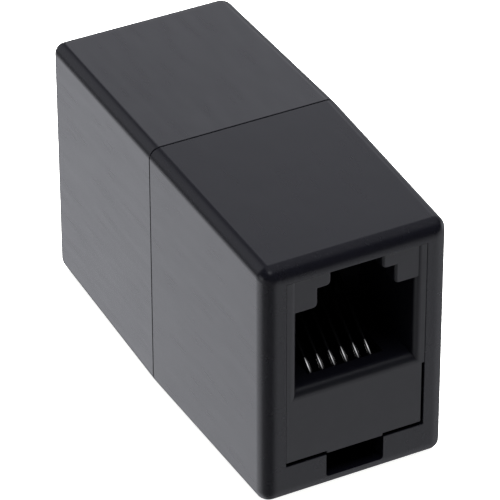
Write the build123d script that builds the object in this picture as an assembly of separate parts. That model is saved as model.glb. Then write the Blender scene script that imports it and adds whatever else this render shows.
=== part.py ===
# Six-position modular inline coupler: two drafted half shells, a jack in each end, leads between them.
# X is the width, Y the length (front jack at -Y), Z is up. The origin is under the middle of the seam.
import os
from math import pi, radians, tan

from build123d import *

# Outer form, measured at the seam; every side is drafted towards both ends
width = 16.0
height = 22.0
length = 36.5
side_draft = 0.8
top_draft = 1.2
long_edge_radius = 0.9
end_edge_radius = 1.2
seam_edge_break = 0.05
seam_gap = 0.08

# Shell walls and joint
end_wall = 1.5
side_wall = 1.13
cavity_corner = 0.3
tongue_length = 1.2
tongue_thickness = 0.55
joint_clearance = 0.05
rail_height = 1.15
rail_width = 0.9
catch_height = 0.4
catch_length = 1.0
catch_span = 4.0
catch_clearance = 0.03

# Window in each end wall, with the notch below it
window_clearance = 0.02
window_top_clearance = 0.02
window_drop = 1.37
window_edge_break = 0.05
ledge_rise = 2.1
notch_width = 4.88
notch_corner = 0.27

# Jack face; the opening's steps are those of a six-position modular plug
face_recess = 0.03
jamb_width = 0.9
opening_width = 9.86
plug_height = 7.01
latch_width = 6.4
latch_height = 1.67
key_width = 4.24
key_height = 1.23
jamb_lead_in = 0.5
lip_lead_in = 0.8
plate_gap = 0.26
plate_relief = 0.21
relief_below_floor = 0.89
plate_edge_break = 0.1
tab_clearance = 0.03
tab_drop = 0.21
ear_recess = 0.1
ear_thickness = 1.4
ear_edge_radius = 0.24
ear_corner_radius = 0.42

# Jack body behind the face
body_clearance = 0.12
body_edge_break = 0.25
roof_thickness = 1.15
plug_depth = 8.6
comb_thickness = 1.5
tray_length = 2.1
plate_thickness = 1.2
lip_depth = 1.65
body_side_wall = 1.35
deck_thickness = 1.25
channel_margin = 0.35

# Spring contacts of round wire
positions = 6
pitch = 1.02
wire_diameter = 0.46
wire_below_floor = 3.09
groove_clearance = 0.02
comb_clearance = 0.07
comb_headroom = 0.4
contact_rise = 37.0
contact_bend_radius = 0.6
bend_standoff = 0.32
bend_below_floor = 0.89
tip_inset = 0.5
tail_length = 0.76

# Crimp barrels and insulated leads, side by side at the contacts' pitch
barrel_spacing = 0.16
barrel_length = 2.2
barrel_gap = 0.1
barrel_chamfer = 0.06
crimp_clearance = 0.01
lead_spacing = 0.12
lead_core_diameter = 0.45
lead_core_length = 0.9
lead_hump = 0.9
lead_colours = ["white", "black", "red", "green", "yellow", "blue"]

# Clamp bar over the wires
clamp_setback = 0.8
clamp_length = 3.2
clamp_thickness = 0.9
clamp_lug = 0.35
clamp_lug_length = 1.6
clamp_clearance = 0.04

# How far a cut runs past the face it leaves, and how far joined blocks run into each other
past = 1.0
inside = 0.3
near = 0.01

# Levels and places worked out from the values above
half_length = length / 2
end_half_width = width / 2 - half_length * tan(radians(side_draft))
end_bottom = half_length * tan(radians(top_draft))
end_top = height - end_bottom

cavity_half_width = end_half_width - side_wall
cavity_bottom = end_bottom + side_wall
cavity_top = end_top - side_wall
cavity_length = half_length - end_wall

half_opening = opening_width / 2
nose_half_width = half_opening + jamb_width
window_half_width = nose_half_width + window_clearance
window_bottom = cavity_bottom + ledge_rise
window_top = end_top - window_drop

nose_bottom = window_bottom + plate_gap
nose_top = window_top - window_top_clearance
tab_bottom = nose_bottom - tab_drop
latch_top = nose_top - key_height
plug_top = latch_top - latch_height
floor_level = plug_top - plug_height
jamb_radius = min(jamb_lead_in, jamb_width - 0.03)
ear_back = ear_recess + ear_thickness

body_half_width = cavity_half_width - body_clearance
body_inner_half_width = body_half_width - body_side_wall
body_top = cavity_top - body_clearance
body_bottom = cavity_bottom + rail_height
roof_level = body_top - roof_thickness
comb_end = plug_depth + comb_thickness
body_depth = comb_end + tray_length

wire_radius = wire_diameter / 2
wire_level = floor_level - wire_below_floor
deck_top = wire_level + wire_radius + groove_clearance
deck_bottom = deck_top - deck_thickness
contact_xs = [(index - (positions - 1) / 2) * pitch for index in range(positions)]
bend_depth = lip_depth + bend_standoff + wire_radius
bend_level = floor_level - bend_below_floor
tip_depth = comb_end - tip_inset
tip_level = bend_level + (tip_depth - bend_depth) * tan(radians(contact_rise))
groove_half_width = wire_radius + groove_clearance
comb_half_slot = wire_radius + comb_clearance
comb_slot_top = tip_level + wire_radius + comb_headroom
channel_half_width = contact_xs[-1] + comb_half_slot + channel_margin

barrel_radius = (pitch - barrel_spacing) / 2
barrel_start = comb_end + barrel_gap
barrel_end = barrel_start + barrel_length
tray_half_width = contact_xs[-1] + pitch / 2
lead_radius = (pitch - lead_spacing) / 2

clamp_end = plug_depth - clamp_setback
clamp_start = clamp_end - clamp_length
lug_start = clamp_start + (clamp_length - clamp_lug_length) / 2
lug_end = lug_start + clamp_lug_length
lug_half_width = channel_half_width + clamp_lug


def block(x_low, x_high, depth_low, depth_high, z_low, z_high):
    """A box of the front half, with depth counted inwards from the end face."""
    size_x = x_high - x_low
    size_y = depth_high - depth_low
    size_z = z_high - z_low
    corner = Location((x_low, depth_low - half_length, z_low))
    return corner * Box(size_x, size_y, size_z, align=(Align.MIN, Align.MIN, Align.MIN))


def centred_block(half_width, depth_low, depth_high, z_low, z_high):
    return block(-half_width, half_width, depth_low, depth_high, z_low, z_high)


def edges_at_depth(shape, depth, x_reach, z_low, z_high):
    """Edges that lie in the plane at this depth, within a frame of the end face."""
    level = depth - half_length
    found = []
    for edge in shape.edges():
        box = edge.bounding_box()
        in_plane = abs(box.min.Y - level) < near and abs(box.max.Y - level) < near
        across = box.min.X > -x_reach - near and box.max.X < x_reach + near
        upright = box.min.Z > z_low - near and box.max.Z < z_high + near
        if in_plane and across and upright:
            found.append(edge)
    return found


def edges_along_y(shape):
    return [edge for edge in shape.edges() if abs(edge.tangent_at(0.5).Y) > 0.99]


def turned(shape):
    """The same thing at the other end, half a turn about Z."""
    return Rotation(0, 0, 180) * shape


def drafted_half():
    """The outer form of one half, from the seam to its rounded end."""
    plan_outline = Polyline((width / 2, 0), (end_half_width, -half_length), (-end_half_width, -half_length),
                            (-width / 2, 0), close=True)
    side_outline = Polyline((0, 0), (0, height), (-half_length, end_top), (-half_length, end_bottom),
                            close=True)
    side_plane = Plane(origin=(-width / 2, 0, 0), x_dir=(0, 1, 0), z_dir=(1, 0, 0))
    plan = extrude(make_face(plan_outline), height)
    side = extrude(side_plane * make_face(side_outline), width)
    form = plan & side
    form = fillet(form.faces().sort_by(Axis.Y)[0].edges(), end_edge_radius)
    corners = []
    for edge in form.edges():
        out_x = abs(edge.center().X) > end_half_width - end_edge_radius
        out_z = abs(edge.center().Z - height / 2) > end_top - height / 2 - end_edge_radius
        if out_x and out_z and edge.bounding_box().size.Y > end_edge_radius / 2:
            corners.append(edge)
    form = fillet(corners, long_edge_radius)
    form = form - block(-width, width, half_length - seam_gap / 2, half_length + past, -past, height + past)
    return fillet(form.faces().sort_by(Axis.Y)[-1].edges(), seam_edge_break)


def cavity_bar(y_low, y_high, grow):
    """A rounded bar of the cavity's section, larger all round by grow."""
    place = Location((0, (y_low + y_high) / 2, (cavity_bottom + cavity_top) / 2))
    size_x = 2 * (cavity_half_width + grow)
    size_z = cavity_top - cavity_bottom + 2 * grow
    bar = place * Box(size_x, y_high - y_low, size_z)
    return fillet(edges_along_y(bar), cavity_corner + grow)


def with_window(shell):
    """The jack's window and the notch under it, cut through the end wall."""
    window = centred_block(window_half_width, -past, end_wall + inside, window_bottom, window_top)
    notch = centred_block(notch_width / 2, -past, end_wall + inside, cavity_bottom, window_bottom + inside)
    low_corners = [edge for edge in edges_along_y(notch) if edge.center().Z < window_bottom]
    notch = fillet(low_corners, notch_corner)
    shell = shell - window - notch
    rim = []
    for edge in edges_at_depth(shell, 0, window_half_width, window_bottom, window_top):
        if edge.center().Z > window_bottom + near or abs(edge.center().X) > notch_width / 2:
            rim.append(edge)
    return fillet(rim, window_edge_break)


def catch(side):
    """A ramped bump on a side wall, behind the jack body."""
    wall = side * (cavity_half_width + inside)
    root = side * cavity_half_width
    tip = side * (cavity_half_width - catch_height)
    start = body_depth + catch_clearance - half_length
    end = start + catch_length
    ramp = make_face(Polyline((wall, start), (tip, start), (root, end), (wall, end), close=True))
    return Location((0, 0, body_bottom + body_side_wall)) * extrude(ramp, catch_span)


def rail(side):
    """A rail on the floor under one side wall of the jack body."""
    centre = side * (body_half_width - body_side_wall / 2)
    return block(centre - rail_width / 2, centre + rail_width / 2, end_wall - inside, body_depth,
                 cavity_bottom - inside, body_bottom)


def hollow_half():
    shell = with_window(drafted_half() - cavity_bar(-cavity_length, past, 0))
    for side in (-1, 1):
        shell = shell + rail(side) + catch(side)
    return shell


def build_front_shell():
    """Half shell whose rim carries the tongue."""
    tongue = cavity_bar(-tongue_length, tongue_length, tongue_thickness)
    tongue = tongue - cavity_bar(-tongue_length - past, tongue_length + past, 0)
    return hollow_half() + tongue


def build_rear_shell():
    """Half shell whose rim is rebated for the tongue; the tongue's tip is welded to the step."""
    rebate = cavity_bar(-tongue_length, past, tongue_thickness + joint_clearance)
    return turned(hollow_half() - rebate)


def jack_face():
    """Plate, jambs and tab: the part of the jack body that fills the window."""
    nose = centred_block(nose_half_width, face_recess, end_wall, nose_bottom, nose_top)
    tab_half_width = notch_width / 2 - tab_clearance
    tab = centred_block(tab_half_width, face_recess, plate_thickness, tab_bottom, nose_bottom + inside)
    return nose + tab


def plate_side_relief():
    """The plate stands further back from the window on one side."""
    return block(nose_half_width - plate_relief, nose_half_width + past, -past, end_wall,
                 nose_bottom - past, floor_level - relief_below_floor)


def ear(side):
    """One latch ear: a stepped plate set back behind the face."""
    outer = half_opening + jamb_width / 2
    step = latch_width / 2
    key = key_width / 2
    outline = Polyline((outer, plug_top), (step, plug_top), (step, latch_top), (key, latch_top),
                       (key, nose_top), (outer, nose_top), close=True)
    profile = make_face(outline)
    tips = []
    for corner in profile.vertices():
        at_step = abs(corner.X - step) < near and abs(corner.Y - plug_top) < near
        at_key = abs(corner.X - key) < near and abs(corner.Y - latch_top) < near
        if at_step or at_key:
            tips.append(corner)
    profile = fillet(tips, ear_corner_radius)
    face_plane = Plane(origin=(0, ear_recess - half_length, 0), x_dir=(1, 0, 0), z_dir=(0, -1, 0))
    plate = extrude(face_plane * profile, -ear_thickness)
    free_edges = edges_at_depth(plate, ear_recess, outer - 2 * near, plug_top, nose_top - 2 * near)
    plate = fillet(free_edges, ear_edge_radius)
    return plate if side > 0 else mirror(plate, about=Plane.YZ)


def jack_blank():
    """The body's outside: a block behind the end wall, a tray behind the comb, and the face."""
    upper = centred_block(body_half_width, end_wall, comb_end, body_bottom, body_top)
    tray = centred_block(body_half_width, comb_end - inside, body_depth, body_bottom, floor_level)
    blank = upper + tray
    return chamfer(edges_along_y(blank), body_edge_break) + jack_face()


def plug_space():
    """What the plug and its latch go into."""
    plug = centred_block(half_opening, -past, plug_depth, floor_level, plug_top)
    latch = centred_block(half_opening, ear_back, plug_depth, plug_top - inside, roof_level)
    mouth = centred_block(half_opening, -past, ear_back, plug_top - inside, nose_top + past)
    return plug + latch + mouth


def inner_cuts():
    """Channel behind the lip, hollow underside, tray, comb slots, wire grooves and clamp slots."""
    back = body_depth + past
    barrel_seat = wire_level - barrel_radius
    cuts = [
        centred_block(channel_half_width, lip_depth, plug_depth, deck_top, floor_level + inside),
        centred_block(body_inner_half_width, plate_thickness, back, body_bottom - past, deck_bottom),
        centred_block(channel_half_width, comb_end, back, deck_top, floor_level + past),
        centred_block(tray_half_width, comb_end, back, barrel_seat, deck_top + inside),
    ]
    for x in contact_xs:
        cuts.append(block(x - comb_half_slot, x + comb_half_slot, plug_depth - inside, comb_end + inside,
                          deck_top, comb_slot_top))
        cuts.append(block(x - groove_half_width, x + groove_half_width, lip_depth, comb_end + inside,
                          wire_level - wire_radius, deck_top + inside))
    slot = centred_block(lug_half_width, lug_start - clamp_clearance, lug_end + clamp_clearance,
                         deck_top, deck_top + clamp_thickness + clamp_clearance)
    cuts.append(slot)
    return cuts


def build_jack_body():
    """One moulding: face, plug space, wire channel, deck, comb and the tray for the crimp barrels."""
    body = jack_blank() - plug_space()
    jambs = [edge for edge in edges_at_depth(body, face_recess, half_opening, floor_level, nose_top)
             if floor_level + near < edge.center().Z < nose_top - near]
    body = fillet(jambs, jamb_radius)
    lip = edges_at_depth(body, face_recess, nose_half_width, floor_level, floor_level)
    body = fillet(lip, lip_lead_in) - plate_side_relief()
    plate_edges = [edge for edge in edges_at_depth(body, face_recess, nose_half_width, tab_bottom, nose_top)
                   if edge.center().Z < nose_bottom + near]
    body = fillet(plate_edges, plate_edge_break) + ear(1) + ear(-1)
    for cut in inner_cuts():
        body = body - cut
    return body


def build_clamp():
    """Bar across the wires, seated on the deck, its lugs in the channel's side slots."""
    top = deck_top + clamp_thickness
    bar = centred_block(channel_half_width - clamp_clearance, clamp_start, clamp_end, deck_top, top)
    return bar + centred_block(lug_half_width - clamp_clearance, lug_start, lug_end, deck_top, top)


def swept_wire(name, x, points, radii, radius):
    """A round wire along straight runs and tangent arcs; points are (depth, level)."""
    route = [(x, depth - half_length, level) for depth, level in points]
    path = FilletPolyline(*route, radius=radii)
    section = Plane(origin=path @ 0, z_dir=path % 0) * Circle(radius)
    wire = sweep(section, path=path)
    share = wire.volume / (path.length * pi * radius ** 2)
    print(name, "radii", [round(value, 2) for value in radii])
    print(name, "volume over section x length", round(share, 4))
    return wire


def gentle_radii(points):
    """The largest radii that leave a straight stretch between neighbouring arcs."""
    radii = []
    for before, at, after in zip(points, points[1:], points[2:]):
        first = Vector(at[0] - before[0], at[1] - before[1])
        second = Vector(after[0] - at[0], after[1] - at[1])
        turn = first.get_angle(second)
        radii.append(0.45 * min(first.length, second.length) / tan(radians(turn / 2)))
    return radii


def build_contact(x):
    """Tail in the barrel, forward under the floor, up behind the lip, then back up to the comb."""
    points = [(barrel_start + tail_length, wire_level), (bend_depth, wire_level), (bend_depth, bend_level),
              (tip_depth, tip_level)]
    return swept_wire("contact", x, points, [contact_bend_radius, contact_bend_radius], wire_radius)


def tube_plane(x, depth):
    return Plane(origin=(x, depth - half_length, wire_level), z_dir=(0, 1, 0))


def build_barrel(x):
    """Crimp barrel: the contact's tail enters one end, the lead's core the other."""
    barrel = extrude(tube_plane(x, barrel_start) * Circle(barrel_radius), barrel_length)
    barrel = chamfer(barrel.edges().filter_by(GeomType.CIRCLE), barrel_chamfer)
    bore = extrude(tube_plane(x, barrel_start) * Circle(wire_radius + crimp_clearance), barrel_length)
    return barrel - bore


def build_lead(x):
    """Insulated lead between the two barrels of one position, with bared cores and a little slack."""
    start = barrel_end + crimp_clearance
    run = length - 2 * start
    crest = wire_level + lead_hump
    points = [(start, wire_level), (start + run * 0.16, wire_level), (start + run * 0.34, crest),
              (start + run * 0.66, crest), (start + run * 0.84, wire_level), (start + run, wire_level)]
    lead = swept_wire("lead", x, points, gentle_radii(points), lead_radius)
    for depth in (start - lead_core_length, start + run):
        lead = lead + extrude(tube_plane(x, depth) * Circle(lead_core_diameter / 2), lead_core_length)
    return lead


def main():
    os.makedirs("parts", exist_ok=True)
    body = build_jack_body()
    clamp = build_clamp()
    pieces = {
        "front_shell": build_front_shell(),
        "rear_shell": build_rear_shell(),
        "front_jack_body": body,
        "rear_jack_body": turned(body),
        "front_wire_clamp": clamp,
        "rear_wire_clamp": turned(clamp),
    }
    for index, x in enumerate(contact_xs):
        contact = build_contact(x)
        barrel = build_barrel(x)
        pieces[f"front_contact_{index + 1}"] = contact
        pieces[f"rear_contact_{index + 1}"] = turned(contact)
        pieces[f"front_splice_{index + 1}"] = barrel
        pieces[f"rear_splice_{index + 1}"] = turned(barrel)
        pieces[f"lead_{lead_colours[index]}"] = build_lead(x)
    for name, shape in pieces.items():
        export_step(shape, f"parts/{name}.step")


main()
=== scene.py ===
import math

import bpy
from mathutils import Matrix, Vector


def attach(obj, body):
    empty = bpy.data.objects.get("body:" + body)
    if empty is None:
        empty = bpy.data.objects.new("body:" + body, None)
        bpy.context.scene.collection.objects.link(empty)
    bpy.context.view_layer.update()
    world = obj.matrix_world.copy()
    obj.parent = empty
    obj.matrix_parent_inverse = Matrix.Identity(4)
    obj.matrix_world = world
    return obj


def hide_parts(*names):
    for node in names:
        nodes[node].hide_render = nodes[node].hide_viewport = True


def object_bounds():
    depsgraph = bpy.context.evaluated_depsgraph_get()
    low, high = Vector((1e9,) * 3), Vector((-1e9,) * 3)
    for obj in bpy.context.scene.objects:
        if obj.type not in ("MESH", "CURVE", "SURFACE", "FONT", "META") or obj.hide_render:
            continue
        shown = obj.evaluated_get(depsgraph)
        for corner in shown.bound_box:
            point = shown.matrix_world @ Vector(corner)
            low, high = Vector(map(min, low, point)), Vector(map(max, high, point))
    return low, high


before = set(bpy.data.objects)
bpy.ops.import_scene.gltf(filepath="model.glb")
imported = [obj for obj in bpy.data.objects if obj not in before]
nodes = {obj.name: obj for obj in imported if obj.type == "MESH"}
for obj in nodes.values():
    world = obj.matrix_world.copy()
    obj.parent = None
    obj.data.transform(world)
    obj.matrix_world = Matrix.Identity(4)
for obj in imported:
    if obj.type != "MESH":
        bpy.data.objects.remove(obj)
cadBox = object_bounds()
scene = bpy.context.scene
scene.view_settings.view_transform = "Standard"
mm = 0.001
halfLength = round(cadBox[1][1], 5)      # from the seam to each end face


def linear(hexColour):
    channels = [int(hexColour[i:i + 2], 16) / 255 for i in (1, 3, 5)]
    return tuple(c / 12.92 if c <= 0.04045 else ((c + 0.055) / 1.055) ** 2.4 for c in channels) + (1.0,)


def addNode(tree, kind, inputs=None, **settings):
    node = tree.nodes.new(kind)
    for name, value in settings.items():
        setattr(node, name, value)
    for name, value in (inputs or {}).items():
        if isinstance(value, bpy.types.NodeSocket):
            tree.links.new(value, node.inputs[name])
        else:
            node.inputs[name].default_value = value
    return node


def newMaterial(name):
    material = bpy.data.materials.new(name)
    material.use_nodes = True
    material.node_tree.nodes.clear()
    return material, material.node_tree


# The photograph's own viewpoint; angles in degrees
cameraSettings = {
    "azimuth": -27.184, "elevation": 34.751, "roll": -0.131,
    "distance": 317.371 * mm, "aimRight": 0.463 * mm, "aimUp": -0.587 * mm, "aimHeight": 11.0 * mm,
    "sensor": 36.0, "focalPixels": 4094.4, "pictureWidth": 500,
    "nearest": 10 * mm, "farthest": 20.0,
}


def makeCamera(s):
    a, e, r = (math.radians(s[k]) for k in ("azimuth", "elevation", "roll"))
    back = Vector((math.sin(a) * math.cos(e), -math.cos(a) * math.cos(e), math.sin(e)))
    right = (-back).cross(Vector((0, 0, 1))).normalized()
    up = right.cross(-back)
    rightRolled = right * math.cos(r) + up * math.sin(r)
    upRolled = up * math.cos(r) - right * math.sin(r)
    aim = right * s["aimRight"] + up * s["aimUp"] + Vector((0, 0, s["aimHeight"]))
    camera = bpy.data.objects.new("camera", bpy.data.cameras.new("camera"))
    scene.collection.objects.link(camera)
    camera.data.sensor_width = s["sensor"]
    camera.data.lens = s["sensor"] * s["focalPixels"] / s["pictureWidth"]
    camera.data.clip_start = s["nearest"]
    camera.data.clip_end = s["farthest"]
    turn = Matrix((rightRolled, upRolled, back)).transposed().to_4x4()
    camera.matrix_world = Matrix.Translation(aim + back * s["distance"]) @ turn
    scene.camera = camera


makeCamera(cameraSettings)
print("camera made")


floorSettings = {"size": 6.0, "colour": "#f4f4f2", "roughness": 0.6, "drop": 0.02 * mm, "glow": 1.08,
                 "frostSize": 3 * mm, "frostDepth": 0.02 * mm, "frostStrength": 0.1}

# The room that the glossy plastic mirrors: a patch is (direction, inner angle, outer angle, brightness added)
roomSettings = {
    "tint": (0.98, 0.99, 1.06, 1.0), "darkest": 0.005, "horizon": 0.04,
    "sky": 0.06,
    "skyPatches": [
        ((0.42, 0.80, 0.43), 2, 15.6, 1.06),      # bright wall behind, to the right
        ((-0.45, 0.78, 0.42), 5, 42, 0.55),       # its dimmer left end
        ((0.68, 0.72, 0.05), 10, 38, 0.38),       # its foot, further right
        ((0.35, 0.15, 0.92), 10, 44, 0.28),       # pale ceiling
        ((-0.05, -0.34, 0.94), 5, 15, 1.60),      # soft lamp over the front, which the contacts pick up
        ((0.99, 0.00, -0.06), 8, 24, 0.95),       # low window on the right
        ((-0.99, 0.00, -0.03), 8, 22, 0.80),      # and one on the left
    ],
    "ground": 0.29,
    "groundPatches": [
        ((-0.55, 0.42, -0.72), 8, 38, 1.01),      # lit table on the left
        ((-0.27, 0.83, -0.49), 8, 14, 0.57),      # its brightest place
        ((0.62, 0.73, -0.25), 8, 36, 0.22),       # its far right
        ((0.55, -0.62, -0.56), 12, 50, 0.38),     # and the near right
        ((-0.35, -0.75, -0.57), 5, 35, -0.11),    # dark on the near left
        ((0.15, -0.98, -0.05), 5, 35, -0.20),     # and along the front edge
        ((0.99, 0.00, -0.06), 8, 24, 0.95),       # right window, below the horizon
        ((-0.99, 0.00, -0.03), 8, 22, 0.80),      # left window, below the horizon
    ],
    "lampPower": 42.0, "lampSize": 0.9, "lampHeight": 1.1,
}


def makeFloor(s):
    half = s["size"] / 2
    mesh = bpy.data.meshes.new("floor")
    corners = [(-half, -half), (half, -half), (half, half), (-half, half)]
    mesh.from_pydata([(x, y, -s["drop"]) for x, y in corners], [], [(0, 1, 2, 3)])
    floor = bpy.data.objects.new("floor", mesh)
    scene.collection.objects.link(floor)
    # frosted opal acrylic, lit softly from below, so that the contact shadow stays pale
    material, tree = newMaterial("opalAcrylic")
    place = addNode(tree, "ShaderNodeTexCoord").outputs["Object"]
    frost = addNode(tree, "ShaderNodeTexNoise", {"Vector": place, "Scale": 1 / s["frostSize"]})
    dent = addNode(tree, "ShaderNodeBump", {"Height": frost.outputs["Fac"], "Strength": s["frostStrength"],
                                            "Distance": s["frostDepth"]})
    opal = addNode(tree, "ShaderNodeBsdfPrincipled",
                   {"Base Color": linear(s["colour"]), "Roughness": s["roughness"],
                    "Emission Color": linear(s["colour"]), "Emission Strength": s["glow"],
                    "Normal": dent.outputs["Normal"]})
    addNode(tree, "ShaderNodeOutputMaterial", {"Surface": opal.outputs["BSDF"]})
    mesh.materials.append(material)
    floor.visible_glossy = False                      # the plastic mirrors the room's ground instead


def makeRoom(s):
    world = bpy.data.worlds.new("room")
    world.use_nodes = True
    scene.world = world
    tree = world.node_tree
    tree.nodes.clear()
    direction = addNode(tree, "ShaderNodeTexCoord").outputs["Generated"]
    height = addNode(tree, "ShaderNodeSeparateXYZ", {0: direction}).outputs["Z"]
    halves = {}
    for half in ("sky", "ground"):
        level = s[half]
        for towards, inner, outer, added in s[half + "Patches"]:
            near = addNode(tree, "ShaderNodeVectorMath", {0: direction, 1: Vector(towards).normalized()},
                           operation="DOT_PRODUCT").outputs["Value"]
            patch = addNode(tree, "ShaderNodeMapRange",
                            {"Value": near, "From Min": math.cos(math.radians(outer)),
                             "From Max": math.cos(math.radians(inner)), "To Max": added},
                            interpolation_type="SMOOTHSTEP").outputs["Result"]
            level = addNode(tree, "ShaderNodeMath", {0: level, 1: patch}, operation="ADD").outputs[0]
        level = addNode(tree, "ShaderNodeMath", {0: level, 1: s["darkest"]}, operation="MAXIMUM").outputs[0]
        halves[half] = level
    above = addNode(tree, "ShaderNodeMapRange",
                    {"Value": height, "From Min": -s["horizon"], "From Max": s["horizon"]},
                    interpolation_type="SMOOTHSTEP").outputs["Result"]
    # a float Mix takes its two values at sockets 2 and 3
    mirrored = addNode(tree, "ShaderNodeMix", {0: above, 2: halves["ground"], 3: halves["sky"]}).outputs[0]
    direct = addNode(tree, "ShaderNodeLightPath").outputs["Is Camera Ray"]
    # the camera itself sees plain white behind the coupler
    level = addNode(tree, "ShaderNodeMix", {0: direct, 2: mirrored, 3: 1.0}).outputs[0]
    backdrop = addNode(tree, "ShaderNodeBackground", {"Color": s["tint"], "Strength": level})
    addNode(tree, "ShaderNodeOutputWorld", {"Surface": backdrop.outputs["Background"]})

    lamp = bpy.data.lights.new("tableLamp", "AREA")    # a large soft box overhead that whitens the table
    lamp.size = s["lampSize"]
    lamp.energy = s["lampPower"]
    panel = bpy.data.objects.new("tableLamp", lamp)
    panel.location = (0, 0, s["lampHeight"])
    panel.visible_glossy = False
    scene.collection.objects.link(panel)


makeFloor(floorSettings)
makeRoom(roomSettings)
print("floor and room made")


# Black ABS, moulded in a stoned steel tool: satin, very slightly wavy where it shrank, faint grain.
# The grain here and below is drawn a few times coarser than the real one, so that it shows
shellSettings = {
    "colour": "#050509", "ior": 1.5, "roughness": 0.26, "patchy": 0.02,
    "grainSize": 0.11 * mm, "grainDepth": 0.0008 * mm,
    "waveSize": 3.5 * mm, "waveDepth": 0.007 * mm,
    "flowSize": 0.8 * mm, "flowStretch": 7.0,
}
# Black glass-filled PBT of the jack bodies: a little brighter and duller than the shells
jackSettings = {
    "colour": "#050509", "ior": 1.6, "roughness": 0.38, "patchy": 0.03,
    "grainSize": 0.13 * mm, "grainDepth": 0.0012 * mm,
    "waveSize": 3.0 * mm, "waveDepth": 0.014 * mm,
    "flowSize": 0.7 * mm, "flowStretch": 5.0,
}
# Black polyamide of the wire clamps: matt, with the fibres just showing
clampSettings = {
    "colour": "#0c0c10", "ior": 1.53, "roughness": 0.5, "patchy": 0.05,
    "grainSize": 0.15 * mm, "grainDepth": 0.003 * mm,
    "waveSize": 2.5 * mm, "waveDepth": 0.006 * mm,
    "flowSize": 0.4 * mm, "flowStretch": 8.0,
}


def mouldedPlastic(name, s):
    material, tree = newMaterial(name)
    place = addNode(tree, "ShaderNodeTexCoord").outputs["Object"]
    grain = addNode(tree, "ShaderNodeTexNoise", {"Vector": place, "Scale": 1 / s["grainSize"], "Detail": 2.0})
    wave = addNode(tree, "ShaderNodeTexNoise", {"Vector": place, "Scale": 1 / s["waveSize"], "Detail": 1.0})
    along = addNode(tree, "ShaderNodeMapping", {"Vector": place, "Scale": (1.0, 1 / s["flowStretch"], 1.0)})
    flow = addNode(tree, "ShaderNodeTexNoise", {"Vector": along.outputs["Vector"], "Scale": 1 / s["flowSize"],
                                                "Detail": 3.0})
    shrink = addNode(tree, "ShaderNodeBump", {"Height": wave.outputs["Fac"], "Distance": s["waveDepth"]})
    skin = addNode(tree, "ShaderNodeBump", {"Height": grain.outputs["Fac"], "Distance": s["grainDepth"],
                                            "Normal": shrink.outputs["Normal"]})
    low, high = 0.3, 0.7      # the noise seldom goes past these
    dull = addNode(tree, "ShaderNodeMapRange",
                   {"Value": flow.outputs["Fac"], "From Min": low, "From Max": high,
                    "To Min": s["roughness"] - s["patchy"], "To Max": s["roughness"] + s["patchy"]})
    plastic = addNode(tree, "ShaderNodeBsdfPrincipled", {"Base Color": linear(s["colour"]), "IOR": s["ior"],
                                                         "Roughness": dull.outputs["Result"],
                                                         "Normal": skin.outputs["Normal"]})
    addNode(tree, "ShaderNodeOutputMaterial", {"Surface": plastic.outputs["BSDF"]})
    return material


def dress(names, material):
    for name in names:
        data = nodes[name].data
        data.materials.clear()
        data.materials.append(material)


dress(["front_shell", "rear_shell"], mouldedPlastic("mouldedAbs", shellSettings))
dress(["front_jack_body", "rear_jack_body"], mouldedPlastic("mouldedPbt", jackSettings))
dress(["front_wire_clamp", "rear_wire_clamp"], mouldedPlastic("mouldedPolyamide", clampSettings))
print("mouldings dressed")


# Soft PVC drawn over the core: satin, with the die's fine lines along the lead; both ends bared and tinned
leadSettings = {
    "colours": {"white": "#d8d8d2", "black": "#141416", "red": "#a5161a", "green": "#12702e",
                "yellow": "#d8ab1c", "blue": "#143f9c"},
    "roughness": 0.42, "patchy": 0.08, "ior": 1.52,
    "lineSize": 0.05 * mm, "lineDepth": 0.0015 * mm, "lineStretch": 60.0,
    "coreFrom": 5.84 * mm, "coreColour": "#c2bfb6", "coreRoughness": 0.3,
}


def extrudedPvc(colour, s):
    material, tree = newMaterial("extrudedPvc" + colour.capitalize())
    place = addNode(tree, "ShaderNodeTexCoord").outputs["Object"]
    along = addNode(tree, "ShaderNodeMapping", {"Vector": place, "Scale": (1.0, 1 / s["lineStretch"], 1.0)})
    lines = addNode(tree, "ShaderNodeTexNoise",
                    {"Vector": along.outputs["Vector"], "Scale": 1 / s["lineSize"],
                     "Detail": 2.0}).outputs["Fac"]
    groove = addNode(tree, "ShaderNodeBump", {"Height": lines, "Distance": s["lineDepth"]}).outputs["Normal"]
    sheen = addNode(tree, "ShaderNodeMapRange", {"Value": lines, "To Min": s["roughness"] - s["patchy"],
                                                 "To Max": s["roughness"] + s["patchy"]}).outputs["Result"]
    jacket = addNode(tree, "ShaderNodeBsdfPrincipled",
                     {"Base Color": linear(s["colours"][colour]), "IOR": s["ior"],
                      "Roughness": sheen, "Normal": groove})
    core = addNode(tree, "ShaderNodeBsdfPrincipled", {"Base Color": linear(s["coreColour"]), "Metallic": 1.0,
                                                      "Roughness": s["coreRoughness"], "Normal": groove})
    length = addNode(tree, "ShaderNodeSeparateXYZ", {0: place}).outputs["Y"]
    fromMiddle = addNode(tree, "ShaderNodeMath", {0: length}, operation="ABSOLUTE").outputs[0]
    bare = addNode(tree, "ShaderNodeMath", {0: fromMiddle, 1: s["coreFrom"]},
                   operation="GREATER_THAN").outputs[0]
    lead = addNode(tree, "ShaderNodeMixShader", {0: bare, 1: jacket.outputs["BSDF"], 2: core.outputs["BSDF"]})
    addNode(tree, "ShaderNodeOutputMaterial", {"Surface": lead.outputs["Shader"]})
    return material


for colour in leadSettings["colours"]:
    dress(["lead_" + colour], extrudedPvc(colour, leadSettings))
print("leads dressed")


def groupSockets(tree, kinds):
    return {name: tree.interface.new_socket(name, in_out="INPUT", socket_type="NodeSocket" + kind).identifier
            for name, kind in kinds.items()}


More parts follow.
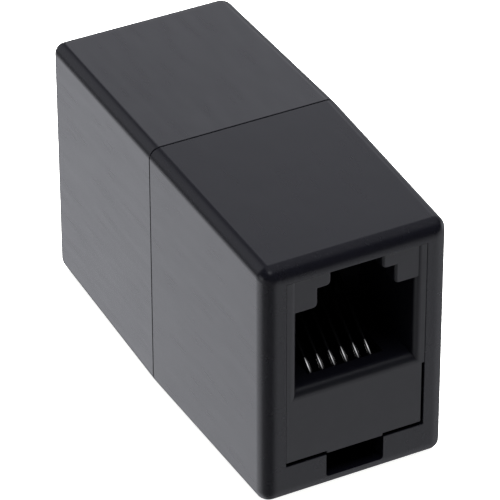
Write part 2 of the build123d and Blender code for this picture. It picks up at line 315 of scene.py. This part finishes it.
def pitchRow():
    # copies of one piece side by side along X, centred on the middle of the coupler
    tree = bpy.data.node_groups.new("pitchRow", "GeometryNodeTree")
    sockets = groupSockets(tree, {"Piece": "Geometry", "Count": "Int", "Pitch": "Float",
                                  "Material": "Material"})
    tree.interface.new_socket("Row", in_out="OUTPUT", socket_type="NodeSocketGeometry")
    given = addNode(tree, "NodeGroupInput").outputs
    step = addNode(tree, "ShaderNodeCombineXYZ", {"X": given["Pitch"]}).outputs["Vector"]
    gaps = addNode(tree, "ShaderNodeMath", {0: given["Count"], 1: 1.0}, operation="SUBTRACT").outputs[0]
    half = addNode(tree, "ShaderNodeMath", {0: gaps, 1: -0.5}, operation="MULTIPLY").outputs[0]
    first = addNode(tree, "ShaderNodeVectorMath", {0: step, "Scale": half},
                    operation="SCALE").outputs["Vector"]
    places = addNode(tree, "GeometryNodeMeshLine",
                     {"Count": given["Count"], "Start Location": first, "Offset": step},
                     mode="OFFSET").outputs["Mesh"]
    row = addNode(tree, "GeometryNodeInstanceOnPoints", {"Points": places, "Instance": given["Piece"]})
    real = addNode(tree, "GeometryNodeRealizeInstances", {"Geometry": row.outputs["Instances"]})
    finished = addNode(tree, "GeometryNodeSetMaterial", {"Geometry": real.outputs["Geometry"],
                                                         "Material": given["Material"]})
    addNode(tree, "NodeGroupOutput", {"Row": finished.outputs["Geometry"]})
    return tree, sockets


def wireRow(s, row):
    # a round wire along a bent route, then the row of it
    tree = bpy.data.node_groups.new("wireRow", "GeometryNodeTree")
    sockets = groupSockets(tree, {"Route": "Geometry", "Count": "Int", "Pitch": "Float",
                                  "Wire Radius": "Float", "Bend Radius": "Float", "Material": "Material"})
    tree.interface.new_socket("Row", in_out="OUTPUT", socket_type="NodeSocketGeometry")
    given = addNode(tree, "NodeGroupInput").outputs
    line = addNode(tree, "GeometryNodeMeshToCurve", {"Mesh": given["Route"]})
    bent = addNode(tree, "GeometryNodeFilletCurve",
                   {"Curve": line.outputs["Curve"], "Radius": given["Bend Radius"], "Count": s["bendSteps"]},
                   mode="POLY")
    length = addNode(tree, "GeometryNodeSplineParameter").outputs["Length"]
    marked = addNode(tree, "GeometryNodeStoreNamedAttribute",
                     {"Geometry": bent.outputs["Curve"], "Name": "alongWire", "Value": length},
                     data_type="FLOAT")
    section = addNode(tree, "GeometryNodeCurvePrimitiveCircle",
                      {"Resolution": s["around"], "Radius": given["Wire Radius"]})
    wire = addNode(tree, "GeometryNodeCurveToMesh", {"Curve": marked.outputs["Geometry"], "Fill Caps": True,
                                                     "Profile Curve": section.outputs["Curve"]})
    copies = addNode(tree, "GeometryNodeGroup", {"Piece": wire.outputs["Mesh"], "Count": given["Count"],
                                                 "Pitch": given["Pitch"], "Material": given["Material"]},
                     node_tree=row)
    addNode(tree, "NodeGroupOutput", {"Row": copies.outputs["Row"]})
    return tree, sockets


sharpAngle = math.radians(40)      # edges steeper than this stay crisp on the metal pieces


def makeRow(name, start, tree, sockets, values, hides):
    maker = bpy.data.objects.new(name + "Maker", start)
    scene.collection.objects.link(maker)
    modifier = maker.modifiers.new("nodes", "NODES")
    modifier.node_group = tree
    for socket, value in values.items():
        modifier[sockets[socket]] = value
    evaluated = maker.evaluated_get(bpy.context.evaluated_depsgraph_get())
    mesh = bpy.data.meshes.new_from_object(evaluated)
    bpy.data.objects.remove(maker)
    mesh.shade_smooth()
    mesh.set_sharp_from_angle(angle=sharpAngle)
    piece = bpy.data.objects.new(name, mesh)
    scene.collection.objects.link(piece)
    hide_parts(*hides)
    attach(piece, "root")


# Six sprung wires at the plug's pitch, each along the same bent route.
# A point of the route is its depth from the end face and its height, in mm
contactSettings = {
    "count": 6, "pitch": 1.02 * mm, "wireRadius": 0.23 * mm, "bendRadius": 0.6 * mm,
    "around": 28, "bendSteps": 10,
    "route": [(10.96, 7.228), (2.2, 7.228), (2.2, 9.428), (9.6, 15.004)],
    # the bright colour is a painted highlight on a band just above the bend; the dark dull colour is painted
    # shade on the rest
    "bright": "#dddcd8", "brightRoughness": 0.07, "dull": "#202022", "dullRoughness": 0.42,
    "highlightFrom": 11.24 * mm, "highlightTo": 11.98 * mm, "highlightEdge": 0.28 * mm,
    "drawLine": 0.03 * mm, "drawDepth": 0.0006 * mm, "drawDrift": 0.04, "patchy": (-0.02, 0.05),
}


def drawnNickel(s):
    # Nickel plate over drawn wire, with fine lines along the draw. Its colour holds painted light: dark as
    # painted shade along most of the wire, bright with a hard thin painted highlight on a band just above the
    # bend
    material, tree = newMaterial("nickelPlatedWire")
    place = addNode(tree, "ShaderNodeTexCoord").outputs["Object"]
    along = addNode(tree, "ShaderNodeAttribute", attribute_name="alongWire").outputs["Fac"]
    across = addNode(tree, "ShaderNodeSeparateXYZ", {0: place}).outputs["X"]
    drift = addNode(tree, "ShaderNodeMath", {0: along, 1: s["drawDrift"]}, operation="MULTIPLY").outputs[0]
    lineAt = addNode(tree, "ShaderNodeCombineXYZ", {"X": across, "Y": drift}).outputs["Vector"]
    lines = addNode(tree, "ShaderNodeTexNoise", {"Vector": lineAt, "Scale": 1 / s["drawLine"],
                                                 "Detail": 1.0}).outputs["Fac"]
    groove = addNode(tree, "ShaderNodeBump", {"Height": lines, "Distance": s["drawDepth"]}).outputs["Normal"]
    # the band along the wire, just above the bend, that takes the painted highlight
    edge = s["highlightEdge"]
    begins = addNode(tree, "ShaderNodeMapRange",
                     {"Value": along, "From Min": s["highlightFrom"] - edge,
                      "From Max": s["highlightFrom"] + edge}).outputs["Result"]
    ends = addNode(tree, "ShaderNodeMapRange",
                   {"Value": along, "From Min": s["highlightTo"] - edge, "From Max": s["highlightTo"] + edge,
                    "To Min": 1.0, "To Max": 0.0}).outputs["Result"]
    paintedHighlight = addNode(tree, "ShaderNodeMath", {0: begins, 1: ends}, operation="MULTIPLY").outputs[0]
    grain = addNode(tree, "ShaderNodeMapRange", {"Value": lines, "To Min": s["patchy"][0],
                                                 "To Max": s["patchy"][1]}).outputs["Result"]
    shades = []
    # a painted-shade copy and a painted-highlight copy of the same nickel
    for state in ("dull", "bright"):
        rough = addNode(tree, "ShaderNodeMath", {0: grain, 1: s[state + "Roughness"]}, operation="ADD")
        shades.append(addNode(tree, "ShaderNodeBsdfPrincipled",
                              {"Base Color": linear(s[state]), "Metallic": 1.0,
                               "Roughness": rough.outputs[0], "Normal": groove}))
    metal = addNode(tree, "ShaderNodeMixShader", {0: paintedHighlight, 1: shades[0].outputs["BSDF"],
                                                  2: shades[1].outputs["BSDF"]})
    addNode(tree, "ShaderNodeOutputMaterial", {"Surface": metal.outputs["Shader"]})
    return material


def makeContacts(s, row):
    tree, sockets = wireRow(s, row)
    metal = drawnNickel(s)
    for end, way in (("front", 1), ("rear", -1)):
        line = bpy.data.meshes.new(end + "Route")
        points = [(0, way * (depth * mm - halfLength), level * mm) for depth, level in s["route"]]
        line.from_pydata(points, [(i, i + 1) for i in range(len(points) - 1)], [])
        makeRow(end + "Contacts", line, tree, sockets,
                {"Count": s["count"], "Pitch": s["pitch"], "Wire Radius": s["wireRadius"],
                 "Bend Radius": s["bendRadius"], "Material": metal},
                [f"{end}_contact_{i + 1}" for i in range(s["count"])])


rowTree, rowSockets = pitchRow()
makeContacts(contactSettings, rowTree)
print("contacts made")


# Crimp barrels in line with the wires: rolled tubes, tin plated, closed along a seam on top and bitten twice
barrelSettings = {
    "count": contactSettings["count"], "pitch": contactSettings["pitch"],
    "radius": 0.43 * mm, "bore": 0.24 * mm, "rim": 0.06 * mm,
    "start": 10.2 * mm, "length": 2.2 * mm, "level": 7.228 * mm, "seam": 0.03 * mm,
    "bite": 0.05 * mm, "biteLength": 0.55 * mm, "bites": (0.62 * mm, 1.58 * mm), "around": 48, "steps": 40,
    "colour": "#b9b7b0", "roughness": 0.30, "patchy": (-0.06, 0.14),
    "spangle": 0.16 * mm, "spangleDepth": 0.0012 * mm,
}


def barrelMesh(s, way):
    # along the outside, then back through the bore, closed both ways round
    outline = [(0, s["radius"] - s["rim"])]
    for i in range(s["steps"] + 1):
        outline.append((s["rim"] + (s["length"] - 2 * s["rim"]) * i / s["steps"], s["radius"]))
    outline += [(s["length"], s["radius"] - s["rim"]), (s["length"], s["bore"]), (0, s["bore"])]
    points = []
    for along, radius in outline:
        squeeze = sum(max(0, 1 - ((along - bite) / (s["biteLength"] / 2)) ** 2) ** 2 for bite in s["bites"])
        for j in range(s["around"]):
            angle = 2 * math.pi * j / s["around"]
            reach = radius
            if radius > s["bore"]:
                reach -= s["bite"] * squeeze * abs(math.cos(angle)) ** 3
                if j == s["around"] // 4:
                    reach -= s["seam"]
            points.append((reach * math.cos(angle), way * (s["start"] + along - halfLength),
                           s["level"] + reach * math.sin(angle)))
    around, rings = s["around"], len(outline)
    faces = []
    for i in range(rings):
        for j in range(around):
            face = [i * around + j, i * around + (j + 1) % around,
                    (i + 1) % rings * around + (j + 1) % around, (i + 1) % rings * around + j]
            faces.append(face if way < 0 else face[::-1])
    mesh = bpy.data.meshes.new("barrel")
    mesh.from_pydata(points, [], faces)
    return mesh


def platedTin(s):
    # Matt tin: a soft grey sheen broken into small dull and bright crystals
    material, tree = newMaterial("tinPlatedBrass")
    place = addNode(tree, "ShaderNodeTexCoord").outputs["Object"]
    cells = addNode(tree, "ShaderNodeTexVoronoi", {"Vector": place, "Scale": 1 / s["spangle"]})
    crystal = cells.outputs["Distance"]
    face = addNode(tree, "ShaderNodeBump", {"Height": crystal, "Distance": s["spangleDepth"]})
    dull = addNode(tree, "ShaderNodeMapRange", {"Value": crystal, "To Min": s["roughness"] + s["patchy"][0],
                                                "To Max": s["roughness"] + s["patchy"][1]}).outputs["Result"]
    metal = addNode(tree, "ShaderNodeBsdfPrincipled", {"Base Color": linear(s["colour"]), "Metallic": 1.0,
                                                       "Roughness": dull, "Normal": face.outputs["Normal"]})
    addNode(tree, "ShaderNodeOutputMaterial", {"Surface": metal.outputs["BSDF"]})
    return material


def makeBarrels(s, row, sockets):
    metal = platedTin(s)
    for end, way in (("front", 1), ("rear", -1)):
        makeRow(end + "Splices", barrelMesh(s, way), row, sockets,
                {"Count": s["count"], "Pitch": s["pitch"], "Material": metal},
                [f"{end}_splice_{i + 1}" for i in range(s["count"])])


makeBarrels(barrelSettings, rowTree, rowSockets)
print("splices made")
